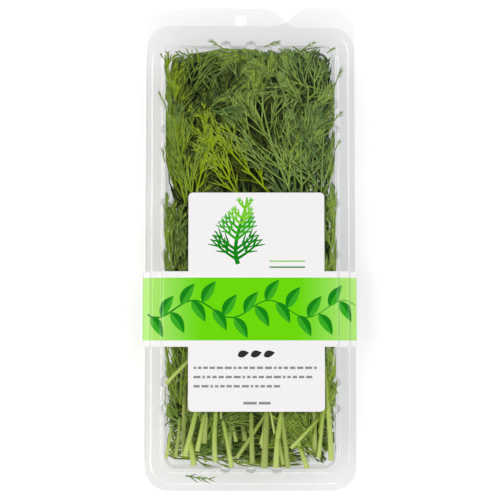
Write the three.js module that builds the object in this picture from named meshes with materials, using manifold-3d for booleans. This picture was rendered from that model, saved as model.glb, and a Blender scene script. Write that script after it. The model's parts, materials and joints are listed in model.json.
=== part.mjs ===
// A bunch of fresh cut dill in its clear hinged clamshell pack, lying on its back.
// Millimetres. X runs across the pack, Y along it towards the hang tab, Z up through the lid.
// The origin is on the surface that the pack lies on, under the middle of its outline.

import * as THREE from "three";
import { mergeVertices } from "three/addons/utils/BufferGeometryUtils.js";
import Module from "manifold-3d";

const wasm = await Module();
wasm.setup();

// Driving dimensions of the clamshell
const halfWidth = 52;
const bottomEnd = -120;
const topEnd = 120;
const lipTop = 110;
const partingHeight = 20;
const partingGap = 0.1;
const sheet = 0.6;
const lidRise = 3.2;
const ledgeRise = 1.5;
const shoulderDrop = 1.5;
const floorBendHeight = 3;
const cornerSteps = 4;
const arcSteps = 6;
const lap = 0.5;
const skim = 0.05;

// The faces of the two lips, which meet at the parting plane
const trayLipFace = partingHeight - partingGap;
const trayLipUnder = trayLipFace - sheet;
const lidLipUnder = partingHeight + partingGap;

// Rounded rectangles of the clamshell seen from above, from the outer edge inwards
const lipEdge = { x: halfWidth, bottom: bottomEnd, top: lipTop, radius: 11.5 };
const stepFoot = { x: 49.2, bottom: -117, top: 107, radius: 10.4 };
const stepTop = { x: 48.8, bottom: -116.6, top: 106.6, radius: 10 };
const pocketEdge = { x: 43.6, bottom: -110.9, top: 102.7, radius: 7 };
const pocketMouth = { x: 42.4, bottom: -109.7, top: 101.5, radius: 6.2 };
const floorBend = { x: 41, bottom: -108.3, top: 100.1, radius: 6 };
const floorFlat = { x: 38, bottom: -105.3, top: 97.1, radius: 4 };

// Half-round lugs in the wall of the pocket, which stop stacked trays from jamming together
const lugRadius = 2.6;
const lugHeight = 9;
const lugTaper = 0.75;
const lugSlope = 1.05;
const lugSunk = 0.12;
const lugSides = 4;
const lugsAlongSide = [-80, -67, -30, -4, 22, 59, 72];
const lugsAlongEnd = [-12.2, 0.4, 13];

// Hang tab on the tray, opening tab on the lid, and the hinge along the left edge
const hangHole = { x: -4.8, y: 113.3, radius: 3.1 };
const notch = { x: 18, y: 112.6 };
const lidTop = 110.6;
const openingTabCorner = 12.5;
const hingeAxisX = -52.2;
const hingeRadius = 0.4;
const hingeSides = 8;
const hingeStart = -106;
const hingeEnd = 96;
const lidHingeEdge = -51.5;

// Paper label: an upright panel with a wide band across it that folds round both edges
const paper = 0.4;
const paperGap = 0.1;
const panel = { left: -30.5, right: 36.6, bottom: -81.3, top: 27.8, radius: 2.2 };
const band = { bottom: -48.7, top: -11.6 };
const foldUnderTo = 46.4;
const labelWrapX = halfWidth + 0.2;

// The dill lies in layers, each with three or four sprigs side by side
const sprigsInLayer = [3, 4, 3, 4, 3, 3];
const layerLean = [7, -8, 8.5, -7, 8, -8.5];
const leanLength = 110;
const swayReach = 40.6;
const wave = { height: 3.2, stride: 31, layerPhase: 1.9 };
const heave = { middle: 11.6, reach: 10.6, height: 1, strideX: 13, strideY: 34 };
const dillFloor = 1.3;
const layerPitch = 3.45;
const dillHalfWidth = 39.6;
const lowestHalfWidth = 37.2;
const footOfStems = { from: -106, spread: 12 };
const tipOfStems = { from: 62, spread: 12 };
const stemFoot = 1.3;
const stemTip = 0.6;
const stemSwing = { share: 0.45, turns: 3.4, up: 0.2, upTurns: 5 };
const stemRings = 7;
const stemSides = 5;
const leavesOnSprig = 7;
const firstLeaf = 0.2;
const leafyShare = 0.82;
const endLeaf = 0.985;
const leafSlant = { from: 0.24, spread: 0.12 };
const endLeafTurn = 0.3;
const leafTilt = 0.04;
const longestLeaf = 46;
const leafSpacing = 0.4;
const leafThickness = 0.75;
const leafRoom = layerPitch / 2 - 0.12;
const leafLimit = 97.8;
const laneEdge = 0.35;
const cornerStart = 90;
const ribHalf = 0.45;
const threadRoot = 1.5;
const threadSpread = 0.66;
const outerThreads = [0.24, 0.48, 0.73];
const innerThreads = [0.4, 0.66];

// A seeded draw between 0 and 1
function seededDraw(seed) {
  let state = seed;
  return () => {
    state = (state * 16807) % 2147483647;
    return state / 2147483647;
  };
}

// A closed three.js geometry as a solid that can be joined and cut
function solidOf(geometry) {
  const bare = geometry.clone();
  bare.deleteAttribute("normal");
  bare.deleteAttribute("uv");
  const merged = mergeVertices(bare, 1e-4);
  return new wasm.Manifold(
    new wasm.Mesh({
      numProp: 3,
      vertProperties: merged.attributes.position.array,
      triVerts: new Uint32Array(merged.index.array),
    }),
  );
}

// A solid as a three.js geometry
function geometryOf(solid) {
  const mesh = solid.getMesh();
  const geometry = new THREE.BufferGeometry();
  geometry.setAttribute("position", new THREE.BufferAttribute(mesh.vertProperties, 3));
  geometry.setIndex(new THREE.BufferAttribute(mesh.triVerts, 1));
  geometry.computeVertexNormals();
  return geometry;
}

function joined(solids) {
  return wasm.Manifold.union(solids);
}

function grown(outline, by) {
  return {
    x: outline.x + by,
    bottom: outline.bottom - by,
    top: outline.top + by,
    radius: outline.radius + by,
  };
}

// The points of a rounded rectangle at height z, anticlockwise from above
function ring(outline, z) {
  const { x, bottom, top, radius } = outline;
  const centres = [
    [x - radius, top - radius],
    [radius - x, top - radius],
    [radius - x, bottom + radius],
    [x - radius, bottom + radius],
  ];
  return centres.flatMap(([cx, cy], quarter) =>
    Array.from({ length: cornerSteps + 1 }, (_, i) => {
      const angle = (quarter + i / cornerSteps) * (Math.PI / 2);
      return [cx + radius * Math.cos(angle), cy + radius * Math.sin(angle), z];
    }),
  );
}

// A closed skin over a run of rings with equal point counts, with a flat cap at each end
function skin(rings) {
  const count = rings[0].length;
  const last = rings.length - 1;
  const faces = [];
  for (let k = 0; k < last; k++)
    for (let i = 0; i < count; i++) {
      const next = (i + 1) % count;
      const [a, b] = [k * count, (k + 1) * count];
      faces.push(a + i, a + next, b + next, a + i, b + next, b + i);
    }
  for (let i = 1; i < count - 1; i++) {
    faces.push(0, i + 1, i);
    faces.push(last * count, last * count + i, last * count + i + 1);
  }
  const geometry = new THREE.BufferGeometry();
  geometry.setAttribute("position", new THREE.Float32BufferAttribute(rings.flat(2), 3));
  geometry.setIndex(faces);
  return geometry;
}

// A flat plate with the thickness of the sheet, from an outline drawn from above
function plate(shape, z) {
  const options = { depth: sheet, bevelEnabled: false, curveSegments: arcSteps };
  return solidOf(new THREE.ExtrudeGeometry(shape, options).translate(0, 0, z));
}

function roundedPath(outline) {
  return new THREE.Path(ring(outline, 0).map(([x, y]) => new THREE.Vector2(x, y)));
}

// Tray: lip with the hang tab
function trayLip() {
  const { radius } = lipEdge;
  const edge = new THREE.Shape();
  edge.moveTo(-halfWidth, bottomEnd + radius);
  edge.lineTo(-halfWidth, 112.4);
  edge.quadraticCurveTo(-49.6, 116.2, -45.2, 118.6);
  edge.quadraticCurveTo(-30, 120, -12, topEnd);
  edge.lineTo(8.5, 119.5);
  edge.bezierCurveTo(12.5, 118.6, 15, 115.6, notch.x, notch.y);
  edge.bezierCurveTo(20.2, 110.4, 21.6, lipTop, 24.5, lipTop);
  edge.lineTo(halfWidth - radius, lipTop);
  edge.absarc(halfWidth - radius, lipTop - radius, radius, Math.PI / 2, 0, true);
  edge.lineTo(halfWidth, bottomEnd + radius);
  edge.absarc(halfWidth - radius, bottomEnd + radius, radius, 0, -Math.PI / 2, true);
  edge.lineTo(radius - halfWidth, bottomEnd);
  edge.absarc(radius - halfWidth, bottomEnd + radius, radius, -Math.PI / 2, -Math.PI, true);
  const hole = new THREE.Path();
  hole.absarc(hangHole.x, hangHole.y, hangHole.radius, 0, 2 * Math.PI, false);
  edge.holes.push(hole, roundedPath(pocketEdge));
  return plate(edge, trayLipUnder);
}

// Tray: the pocket below the lip, a shell open at the top
function trayPocket() {
  const shoulder = trayLipFace - shoulderDrop;
  const inner = [
    [grown(pocketEdge, lap), trayLipFace - skim],
    [grown(pocketEdge, -0.1), trayLipFace - skim],
    [grown(pocketEdge, -0.4), shoulder],
    [grown(pocketMouth, -0.2), shoulder - 0.15],
    [grown(floorBend, -sheet), floorBendHeight + sheet],
    [grown(floorBend, -sheet - 0.9), 1.35],
    [grown(floorFlat, -0.3), sheet],
  ];
  const outer = [
    [floorFlat, 0],
    [grown(floorBend, -0.9), 0.9],
    [floorBend, floorBendHeight],
    [grown(pocketMouth, sheet - 0.2), shoulder - sheet],
    [grown(pocketEdge, sheet - 0.4), shoulder - sheet + 0.15],
    [grown(pocketEdge, lap), trayLipUnder + skim],
  ];
  const rings = [...outer, ...inner].map(([outline, z]) => ring(outline, z));
  return solidOf(skin(rings));
}

// Tray: one half-round lug, which stands out of the sloping wall and narrows downwards.
// It is drawn at the origin, standing out along +X.
function lug() {
  const section = (radius, wall, z) =>
    Array.from({ length: lugSides + 1 }, (_, i) => {
      const angle = Math.PI * (i / lugSides - 0.5);
      return [wall + radius * Math.cos(angle), radius * Math.sin(angle), z];
    });
  const top = trayLipFace - shoulderDrop - sheet;
  return skin([section(lugRadius * lugTaper, -lugSlope, top - lugHeight), section(lugRadius, 0, top)]);
}

// Tray: all the lugs, each turned to stand out of its own wall
function trayLugs() {
  const wall = pocketMouth.x + lugSunk;
  const rows = [
    ...lugsAlongSide.flatMap((y) => [[wall, y, 0], [-wall, y, 2]]),
    ...lugsAlongEnd.flatMap((x) => [
      [x, pocketMouth.top + lugSunk, 1],
      [x, pocketMouth.bottom - lugSunk, 3],
    ]),
  ];
  return rows.map(([x, y, quarters]) => {
    const turn = (quarters * Math.PI) / 2;
    return solidOf(lug().rotateZ(turn).translate(x, y, 0));
  });
}

// Tray: the round bead of the living hinge, along the straight of the left edge
function hingeBead() {
  const length = hingeEnd - hingeStart;
  const bead = new THREE.CylinderGeometry(hingeRadius, hingeRadius, length, hingeSides);
  return solidOf(bead.translate(hingeAxisX, (hingeStart + hingeEnd) / 2, partingHeight));
}

function tray() {
  return joined([trayLip(), trayPocket(), ...trayLugs(), hingeBead()]);
}

// Lid: lip with the opening tab, cut back along the hinge
function lidLip() {
  const { radius } = lipEdge;
  const edge = new THREE.Shape();
  edge.moveTo(lidHingeEdge, bottomEnd + radius);
  edge.lineTo(lidHingeEdge, lidTop - radius);
  edge.absarc(lidHingeEdge + radius, lidTop - radius, radius, Math.PI, Math.PI / 2, true);
  edge.lineTo(11, lidTop);
  edge.quadraticCurveTo(15.6, lidTop, notch.x, notch.y);
  edge.lineTo(25.2, 119);
  edge.quadraticCurveTo(26.4, topEnd, 28.5, topEnd);
  const corner = openingTabCorner;
  edge.lineTo(halfWidth - corner, topEnd);
  edge.absarc(halfWidth - corner, topEnd - corner, corner, Math.PI / 2, 0, true);
  edge.lineTo(halfWidth, bottomEnd + radius);
  edge.absarc(halfWidth - radius, bottomEnd + radius, radius, 0, -Math.PI / 2, true);
  edge.lineTo(lidHingeEdge + radius, bottomEnd);
  edge.absarc(lidHingeEdge + radius, bottomEnd + radius, radius, -Math.PI / 2, -Math.PI, true);
  edge.holes.push(roundedPath(stepFoot));
  return plate(edge, lidLipUnder);
}

// Lid: the raised ledge and the flat front panel, a shallow shell open below
function lidDome() {
  const ledge = lidLipUnder + ledgeRise;
  const front = lidLipUnder + lidRise - sheet;
  const under = [
    [grown(pocketEdge, -0.6), front],
    [grown(pocketEdge, -0.1), ledge],
    [grown(stepTop, -sheet), ledge],
    [grown(stepFoot, -sheet), lidLipUnder + skim],
    [grown(stepFoot, lap), lidLipUnder + skim],
  ];
  const over = [
    [grown(stepFoot, lap), lidLipUnder + sheet - skim],
    [grown(stepFoot, -0.1), lidLipUnder + sheet - skim],
    [stepTop, ledge + sheet],
    [grown(pocketEdge, sheet - 0.2), ledge + sheet],
    [grown(pocketEdge, -0.2), front + sheet],
  ];
  return solidOf(skin([...under, ...over].map(([outline, z]) => ring(outline, z))));
}

function lid() {
  return joined([lidLip(), lidDome()]);
}

// Heights of the label's underside over the lid: on the front, at the step and at the outer edge
const labelOnFront = lidLipUnder + lidRise + paperGap;
const labelAtStep = lidLipUnder + ledgeRise + sheet + 0.2;
const labelAtEdge = lidLipUnder + sheet + 0.15;

// A strip of paper across the pack, from its cross-section drawn in X and Z
function strip(section, from, to) {
  const shape = new THREE.Shape(section.map(([x, z]) => new THREE.Vector2(x, z)));
  const options = { depth: to - from, bevelEnabled: false };
  const geometry = new THREE.ExtrudeGeometry(shape, options);
  return solidOf(geometry.rotateX(Math.PI / 2).translate(0, to, 0));
}

// Label: the part stuck to the lid, down to the parting line on the opening side
function labelFront() {
  const under = [
    [lidHingeEdge, labelAtEdge],
    [-stepTop.x - 0.3, labelAtStep],
    [-pocketEdge.x, labelOnFront],
    [pocketEdge.x, labelOnFront],
    [stepTop.x + 0.3, labelAtStep],
    [labelWrapX, labelAtEdge],
    [labelWrapX, lidLipUnder],
  ];
  const over = [
    [labelWrapX + paper, lidLipUnder],
    [labelWrapX + paper, labelAtEdge + paper / 2],
    [stepTop.x + 0.5, labelAtStep + paper],
    [pocketEdge.x, labelOnFront + paper],
    [-pocketEdge.x, labelOnFront + paper],
    [-stepTop.x - 0.5, labelAtStep + paper],
    [lidHingeEdge, labelAtEdge + paper],
  ];
  const upright = new THREE.Shape();
  const { left, right, bottom, top, radius } = panel;
  upright.moveTo(left, bottom + radius);
  upright.lineTo(left, top - radius);
  upright.absarc(left + radius, top - radius, radius, Math.PI, Math.PI / 2, true);
  upright.lineTo(right - radius, top);
  upright.absarc(right - radius, top - radius, radius, Math.PI / 2, 0, true);
  upright.lineTo(right, bottom + radius);
  upright.absarc(right - radius, bottom + radius, radius, 0, -Math.PI / 2, true);
  upright.lineTo(left + radius, bottom);
  upright.absarc(left + radius, bottom + radius, radius, -Math.PI / 2, -Math.PI, true);
  const options = { depth: paper, bevelEnabled: false, curveSegments: 4 };
  const sheetOfPaper = new THREE.ExtrudeGeometry(upright, options).translate(0, 0, labelOnFront);
  return joined([strip([...under, ...over], band.bottom, band.top), solidOf(sheetOfPaper)]);
}

// Label: the end that folds round the tray's lip on the opening side
function labelFoldOpening() {
  const under = trayLipUnder - paperGap;
  const section = [
    [labelWrapX, trayLipFace],
    [labelWrapX, under],
    [foldUnderTo, under],
    [foldUnderTo, under - paper],
    [labelWrapX + paper, under - paper],
    [labelWrapX + paper, trayLipFace],
  ];
  return strip(section, band.bottom, band.top);
}

// Label: the end stuck under the tray's lip on the hinge side
function labelFoldHinge() {
  const under = trayLipUnder - paperGap;
  const section = [
    [-foldUnderTo, under],
    [-halfWidth, under],
    [-halfWidth, under - paper],
    [-foldUnderTo, under - paper],
  ];
  return strip(section, band.bottom, band.top);
}

// The sprigs are grown straight and side by side, and this bends the whole bunch as one,
// so that stems sway and cross over those in other layers but never meet them.
function sway([x, y, z], layer) {
  const free = 1 - (x / swayReach) ** 2;
  const lean = (layerLean[layer] * y) / leanLength;
  const aside = wave.height * Math.sin(y / wave.stride + wave.layerPhase * layer);
  const across = x + (lean + aside) * free;
  const freeUp = heave.height * (1 - ((z - heave.middle) / heave.reach) ** 2);
  const up = Math.sin(across / heave.strideX + 0.6) * Math.sin(y / heave.strideY + 0.4);
  return [across, y, z + up * freeUp];
}

function swayed(geometry, layer) {
  const places = geometry.attributes.position;
  for (let i = 0; i < places.count; i++) {
    const here = [places.getX(i), places.getY(i), places.getZ(i)];
    places.setXYZ(i, ...sway(here, layer));
  }
  return solidOf(geometry);
}

// The bare cut stem, a tapering rod with few sides
function stem(stemAt, layer) {
  const rings = Array.from({ length: stemRings }, (_, k) => {
    const share = k / (stemRings - 1);
    const { x, y, z } = stemAt(share);
    const radius = stemFoot + (stemTip - stemFoot) * share ** 0.5;
    return Array.from({ length: stemSides }, (_, i) => {
      const angle = (2 * Math.PI * i) / stemSides;
      return [x + radius * Math.cos(angle), y, z - radius * Math.sin(angle)];
    });
  });
  return swayed(skin(rings), layer);
}

// One leaf lying flat along +Y: a rib with threads on both sides, a step apart, and one at its tip.
// The threads start further out on the inner side, which faces the stem.
function leafOutline(length, breadth, inner) {
  const half = (shares, side) =>
    shares.flatMap((share) => {
      const reach = breadth * (1.3 - 0.8 * share);
      const root = share * length;
      return [
        [side * ribHalf, root - threadRoot / 2],
        [side * (ribHalf + reach * Math.sin(threadSpread)), root + reach * Math.cos(threadSpread)],
        [side * ribHalf, root + threadRoot / 2],
      ];
    });
  const right = [[ribHalf, 0], ...half(inner > 0 ? innerThreads : outerThreads, 1)];
  const left = [[-ribHalf, 0], ...half(inner < 0 ? innerThreads : outerThreads, -1)];
  const outline = [...right, [0, length], ...left.reverse()];
  return new THREE.Shape(outline.map(([x, y]) => new THREE.Vector2(x, y)));
}

// Whether a leaf stays in its own lane and layer, clear of its neighbours and the end wall
function fits(geometry, lane) {
  const places = geometry.attributes.position;
  const wall = (y) => lane.reach - Math.abs(lane.middle) - Math.max(0, y - cornerStart) * 0.9;
  return Array.from({ length: places.count }, (_, i) => i).every((i) => {
    const y = places.getY(i);
    const aside = Math.abs(places.getX(i) - lane.middle);
    const above = Math.abs(places.getZ(i) - lane.height);
    const inLane = aside < Math.min(lane.half - laneEdge, wall(y));
    return inLane && y < leafLimit && above < leafRoom;
  });
}

// A leaf on its stem, as long as the pocket leaves room for, and made narrower until it fits
function leaf(root, turn, tilt, inner, lane) {
  const options = { depth: leafThickness, bevelEnabled: false };
  const place = new THREE.Matrix4()
    .makeTranslation(root)
    .multiply(new THREE.Matrix4().makeRotationZ(turn))
    .multiply(new THREE.Matrix4().makeRotationX(tilt));
  const length = Math.min(longestLeaf, leafLimit - 0.5 - root.y);
  for (let size = 1; ; size *= 0.96) {
    const outline = leafOutline(length * size ** 0.4, lane.half * size, inner);
    const geometry = new THREE.ExtrudeGeometry(outline, options);
    geometry.translate(0, 0, -leafThickness / 2).applyMatrix4(place);
    if (fits(geometry, lane)) return swayed(geometry, lane.layer);
  }
}

// One sprig: a cut stem, bare at its foot, with feathered leaves over its upper part
function sprig(lane, draw) {
  const foot = footOfStems.from + footOfStems.spread * draw();
  const tip = tipOfStems.from + tipOfStems.spread * draw();
  const swing = (draw() - 0.5) * lane.half * stemSwing.share;
  const phase = 2 * Math.PI * draw();
  const stemAt = (share) =>
    new THREE.Vector3(
      lane.middle + swing * Math.sin(stemSwing.turns * share + phase) * Math.min(1, 3 - 3 * share),
      foot + (tip - foot) * share,
      lane.height + stemSwing.up * Math.sin(stemSwing.upTurns * share + phase),
    );
  const pieces = [stem(stemAt, lane.layer)];
  for (let k = 0; k < leavesOnSprig; k++) {
    const last = k === leavesOnSprig - 1;
    const step = (leafyShare * (k + leafSpacing * draw())) / leavesOnSprig;
    const share = last ? endLeaf : firstLeaf + step;
    const side = k % 2 ? 1 : -1;
    const slant = leafSlant.from + leafSlant.spread * draw();
    const turn = last ? endLeafTurn * side * slant : -side * slant;
    const tilt = leafTilt * (draw() - 0.5);
    pieces.push(leaf(stemAt(share), turn, tilt, -side, lane));
  }
  return joined(pieces);
}

// The lanes of all the sprigs, from the lowest layer to the uppermost
function lanes() {
  return sprigsInLayer.flatMap((count, layer) => {
    const reach = layer === 0 ? lowestHalfWidth : dillHalfWidth;
    const half = reach / count;
    return Array.from({ length: count }, (_, i) => ({
      layer,
      reach,
      half,
      middle: -reach + half * (2 * i + 1),
      height: dillFloor + layerPitch * (layer + 0.5),
    }));
  });
}

const clearPlastic = new THREE.MeshStandardMaterial({
  color: 0xe9ecec,
  roughness: 0.08,
  transparent: true,
  opacity: 0.3,
});
const coatedPaper = new THREE.MeshStandardMaterial({ color: 0xf1f0f0, roughness: 0.35 });
const dillGreens = [0x4f7a2c, 0x5d8a33, 0x6b9430, 0x7ba03a];

const pack = new THREE.Group();

function add(name, solid, material) {
  const mesh = new THREE.Mesh(geometryOf(solid), material);
  mesh.name = name;
  pack.add(mesh);
}

add("tray", tray(), clearPlastic);
add("lid", lid(), clearPlastic);
add("label_front", labelFront(), coatedPaper);
add("label_fold_opening", labelFoldOpening(), coatedPaper);
add("label_fold_hinge", labelFoldHinge(), coatedPaper);

lanes().forEach((lane, i) => {
  const draw = seededDraw(104729 * (i + 1));
  const green = new THREE.MeshStandardMaterial({ color: dillGreens[i % 4], roughness: 0.6 });
  add(`dill_sprig_${String(i + 1).padStart(2, "0")}`, sprig(lane, draw), green);
});

export default pack;
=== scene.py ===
import json
import math

import bmesh
import bpy
import numpy as np
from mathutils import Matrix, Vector
from mathutils.geometry import delaunay_2d_cdt


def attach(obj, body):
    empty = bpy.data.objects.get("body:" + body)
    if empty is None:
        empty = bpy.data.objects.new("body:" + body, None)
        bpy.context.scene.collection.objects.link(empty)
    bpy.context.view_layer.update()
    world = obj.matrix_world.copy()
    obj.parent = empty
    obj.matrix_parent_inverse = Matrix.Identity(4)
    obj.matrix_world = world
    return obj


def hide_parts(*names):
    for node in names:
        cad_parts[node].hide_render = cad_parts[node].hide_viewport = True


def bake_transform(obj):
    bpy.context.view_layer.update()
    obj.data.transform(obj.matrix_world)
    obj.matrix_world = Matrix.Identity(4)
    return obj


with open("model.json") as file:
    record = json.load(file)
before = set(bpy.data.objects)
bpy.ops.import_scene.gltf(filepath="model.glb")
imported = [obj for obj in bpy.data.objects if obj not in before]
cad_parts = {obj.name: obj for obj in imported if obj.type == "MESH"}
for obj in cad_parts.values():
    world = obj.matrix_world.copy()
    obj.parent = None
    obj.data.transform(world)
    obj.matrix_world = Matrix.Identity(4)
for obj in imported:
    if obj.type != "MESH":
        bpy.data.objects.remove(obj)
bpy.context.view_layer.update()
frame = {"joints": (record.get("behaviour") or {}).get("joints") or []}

# Tray: the deep half of the hinged clamshell, clear recycled PET sheet. It was drawn hot into a mould,
# so every edge is a soft bend, and half-round lugs in the wall keep stacked trays from jamming.
mm = 0.001
parting_height = frame["joints"][0]["pos_m"][2] / mm
sheet_drawn = 0.35
half_width = 52.0
lip_edge = (half_width, -120.0, 110.0, 11.5)
pocket_edge = (43.6, -110.9, 102.7, 7.0)
pocket_mouth = (42.4, -109.7, 101.5, 6.2)
floor_bend = (41.0, -108.3, 100.1, 6.0)
floor_flat = (38.0, -105.3, 97.1, 4.0)
lugs_along_side = (-80, -67, -30, -4, 22, 59, 72)
lugs_along_end = (-12.2, 0.4, 13)
lug_radius = 2.6
lug_taper = 0.75
lug_foot, lug_top = 8.9, 17.75
corner_steps = 10
hang_hole = (-4.8, 113.3, 3.1)
notch = (18.0, 112.6)


def row(outline, out, height, lug=0.0):
    """One line round the sheet: a rounded rectangle set out by that much, its height, and its lugs."""
    x, bottom, top, radius = outline
    return np.array([x + out, bottom - out, top + out, radius + out, height, lug])


def softened(rows, ease, steps=4):
    """The rows with each bend drawn as a soft curve, and a row on the flat just before and after it."""
    soft = [rows[0]]
    for before, here, after in zip(rows, rows[1:], rows[2:]):
        ends, flats = [], []
        for other in (before, after):
            run = max(math.hypot(other[0] - here[0], other[4] - here[4]), 1e-6)
            ends.append(here + (other - here) * min(ease / run, 0.4))
            flats.append(here + (other - here) * min((ease + 0.12) / run, 0.47))
        soft.append(flats[0])
        for t in np.linspace(0, 1, steps):
            soft.append(ends[0] * (1 - t) ** 2 + 2 * here * t * (1 - t) + ends[1] * t ** 2)
        soft.append(flats[1])
    return soft + [rows[-1]]


def side_shares(start, end, lugs):
    """Where the points stand along one straight side: 3 mm apart, and close together over a lug."""
    marks = [mark for mark in np.linspace(start, end, int(abs(end - start) / 3))[1:-1]
             if all(abs(mark - lug) > lug_radius + 1 for lug in lugs)]
    bend = np.sin(np.linspace(-1, 1, 11) * math.pi / 2) * (lug_radius + 0.05)
    marks += [lug + step for lug in lugs for step in bend]
    return sorted((mark - start) / (end - start) for mark in marks)


def stations():
    """The points of one line round the sheet, anticlockwise: corner, angle, share of the side, lug arc."""
    x, bottom, top, radius = pocket_mouth
    across, along = (x - radius, radius - x), (top - radius, bottom + radius)
    sides = [(*across, lugs_along_end), (*along, lugs_along_side),
             (*across[::-1], lugs_along_end), (*along[::-1], lugs_along_side)]
    points = []
    for quarter, (start, end, lugs) in enumerate(sides):
        for angle in np.linspace(0, math.pi / 2, corner_steps + 1):
            points.append((quarter, angle + quarter * math.pi / 2, -1.0, 9.0))
        for share in side_shares(start, end, lugs):
            place = start + share * (end - start)
            off = min(abs(place - lug) for lug in lugs)
            points.append((quarter, (quarter + 1) * math.pi / 2, share, off))
    return np.array(points)


line_round = stations()


def ring_points(line):
    """The points of one row, in millimetres, with its lugs standing out of the wall."""
    x, bottom, top, radius, height, lug = line
    centres = np.array([(x - radius, top - radius), (radius - x, top - radius),
                        (radius - x, bottom + radius), (x - radius, bottom + radius)])
    quarter = line_round[:, 0].astype(int)
    angle, share, off = line_round[:, 1], line_round[:, 2], line_round[:, 3]
    facing = np.stack([np.cos(angle), np.sin(angle)], 1)
    here = centres[quarter]
    there = centres[(quarter + 1) % 4]
    flat = here + (there - here) * np.maximum(share, 0)[:, None] + facing * radius
    down = np.clip((lug_top - height) / (lug_top - lug_foot), 0, 1)
    width = lug_radius * (1 - (1 - lug_taper) * down)
    bulge = lug * np.sqrt(np.maximum(width ** 2 - off ** 2, 0))
    flat = flat + facing * bulge[:, None]
    return np.column_stack([flat, np.full(len(flat), height)])


def within(points, outline):
    """Which of the points lie inside a closed outline."""
    x, y = points[:, 0], points[:, 1]
    odd = np.zeros(len(points), bool)
    for (ax, ay), (bx, by) in zip(outline, np.roll(outline, -1, axis=0)):
        if ay != by:
            odd ^= ((ay > y) != (by > y)) & (x < ax + (bx - ax) * (y - ay) / (by - ay))
    return odd


def flat_sheet(loops, lines=()):
    """Triangles over closed outlines and extra lines, each of which becomes edges of the mesh."""
    points, edges = [], []
    for loop in loops:
        first, count = len(points), len(loop)
        points += [Vector(p[:2]) for p in loop]
        edges += [(first + i, first + (i + 1) % count) for i in range(count)]
    for a, b in lines:
        edges.append((len(points), len(points) + 1))
        points += [Vector(a), Vector(b)]
    found = delaunay_2d_cdt(points, edges, [], 0, 1e-5)
    places = np.array([tuple(p) for p in found[0]])
    faces = np.array([face for face in found[2] if len(face) == 3])
    return places, faces, places[faces].mean(1)


def skin(rows):
    """Faces between rows that follow each other, all with the points of one line round the sheet."""
    count = len(line_round)
    here = np.arange(count)
    after = (here + 1) % count
    quads = [np.column_stack([here, after, after + count, here + count]) + k * count
             for k in range(len(rows) - 1)]
    return np.concatenate([ring_points(line) for line in rows]), np.concatenate(quads)


def placed(name, data):
    """A new object with that data, linked into the scene."""
    made = bpy.data.objects.new(name, data)
    bpy.context.scene.collection.objects.link(made)
    return made


def thick_sheet(name, mesh, thickness, crease, **settings):
    """An object that gives a mesh its thickness (mm) and shades it smooth up to the crease angle."""
    piece = placed(name, mesh)
    made = piece.modifiers.new("sheet", "SOLIDIFY")
    made.thickness = thickness * mm
    made.offset = 0
    for setting, value in settings.items():
        setattr(made, setting, value)
    solid = bpy.data.meshes.new_from_object(piece.evaluated_get(bpy.context.evaluated_depsgraph_get()))
    piece.modifiers.clear()
    piece.data = solid
    solid.name = name
    solid.polygons.foreach_set("use_smooth", [True] * len(solid.polygons))
    solid.set_sharp_from_angle(angle=math.radians(crease))
    return piece


def moulded_piece(name, groups, thickness):
    """A moulded sheet from groups of points (mm) and faces, which are joined where they meet."""
    build = bmesh.new()
    for points, faces in groups:
        spots = [build.verts.new(Vector(p) * mm) for p in points]
        for face in faces:
            build.faces.new([spots[i] for i in face])
    bmesh.ops.remove_doubles(build, verts=build.verts, dist=0.002 * mm)
    loose = [spot for spot in build.verts if not spot.link_faces]
    bmesh.ops.delete(build, geom=loose, context="VERTS")
    bmesh.ops.recalc_face_normals(build, faces=build.faces)
    mesh = bpy.data.meshes.new(name)
    build.to_mesh(mesh)
    build.free()
    return thick_sheet(name, mesh, thickness, 35, use_even_offset=True)


def bezier(points, steps):
    """Points along a curve that its two to four control points draw."""
    shares = np.linspace(0, 1, steps)
    level = [np.outer(np.ones(steps), np.array(p, float)) for p in points]
    while len(level) > 1:
        level = [a * (1 - shares)[:, None] + b * shares[:, None] for a, b in zip(level, level[1:])]
    return level[0]


def corner_arc(centre, radius, start, steps=12):
    """A quarter turn clockwise, as seen from above, that starts at that angle in degrees."""
    angles = np.radians(start) - np.linspace(0, math.pi / 2, steps)
    return np.array(centre) + radius * np.column_stack([np.cos(angles), np.sin(angles)])


def tray_lip_outline():
    """The outer edge of the tray: straight sides, and the hang tab over its upper left."""
    _, bottom, top, radius = lip_edge
    inset = half_width - radius
    return np.concatenate([
        bezier([(-half_width, 112.4), (-49.6, 116.2), (-45.2, 118.6)], 8),
        bezier([(-45.2, 118.6), (-30, 120), (-12, 120)], 10)[1:],
        bezier([(8.5, 119.5), (12.5, 118.6), (15, 115.6), notch], 10),
        bezier([notch, (20.2, 110.4), (21.6, top), (24.5, top)], 8)[1:],
        corner_arc((inset, top - radius), radius, 90),
        corner_arc((inset, bottom + radius), radius, 0),
        corner_arc((-inset, bottom + radius), radius, 270),
    ])


def lip(outline, inner_line, height, holes=()):
    """The flat lip between its outer outline and the first row of the moulded part."""
    ring = ring_points(inner_line)[:, :2]
    places, faces, middles = flat_sheet([outline, ring, *holes])
    kept = within(middles, outline) & ~within(middles, ring)
    for hole in holes:
        kept &= ~within(middles, hole)
    return np.column_stack([places, np.full(len(places), height)]), faces[kept]


def panel_inside(line):
    """The flat sheet inside the last row."""
    ring = ring_points(line)
    places, faces, middles = flat_sheet([ring])
    kept = within(middles, ring[:, :2])
    return np.column_stack([places, np.full(len(places), line[4])]), faces[kept]


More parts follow.
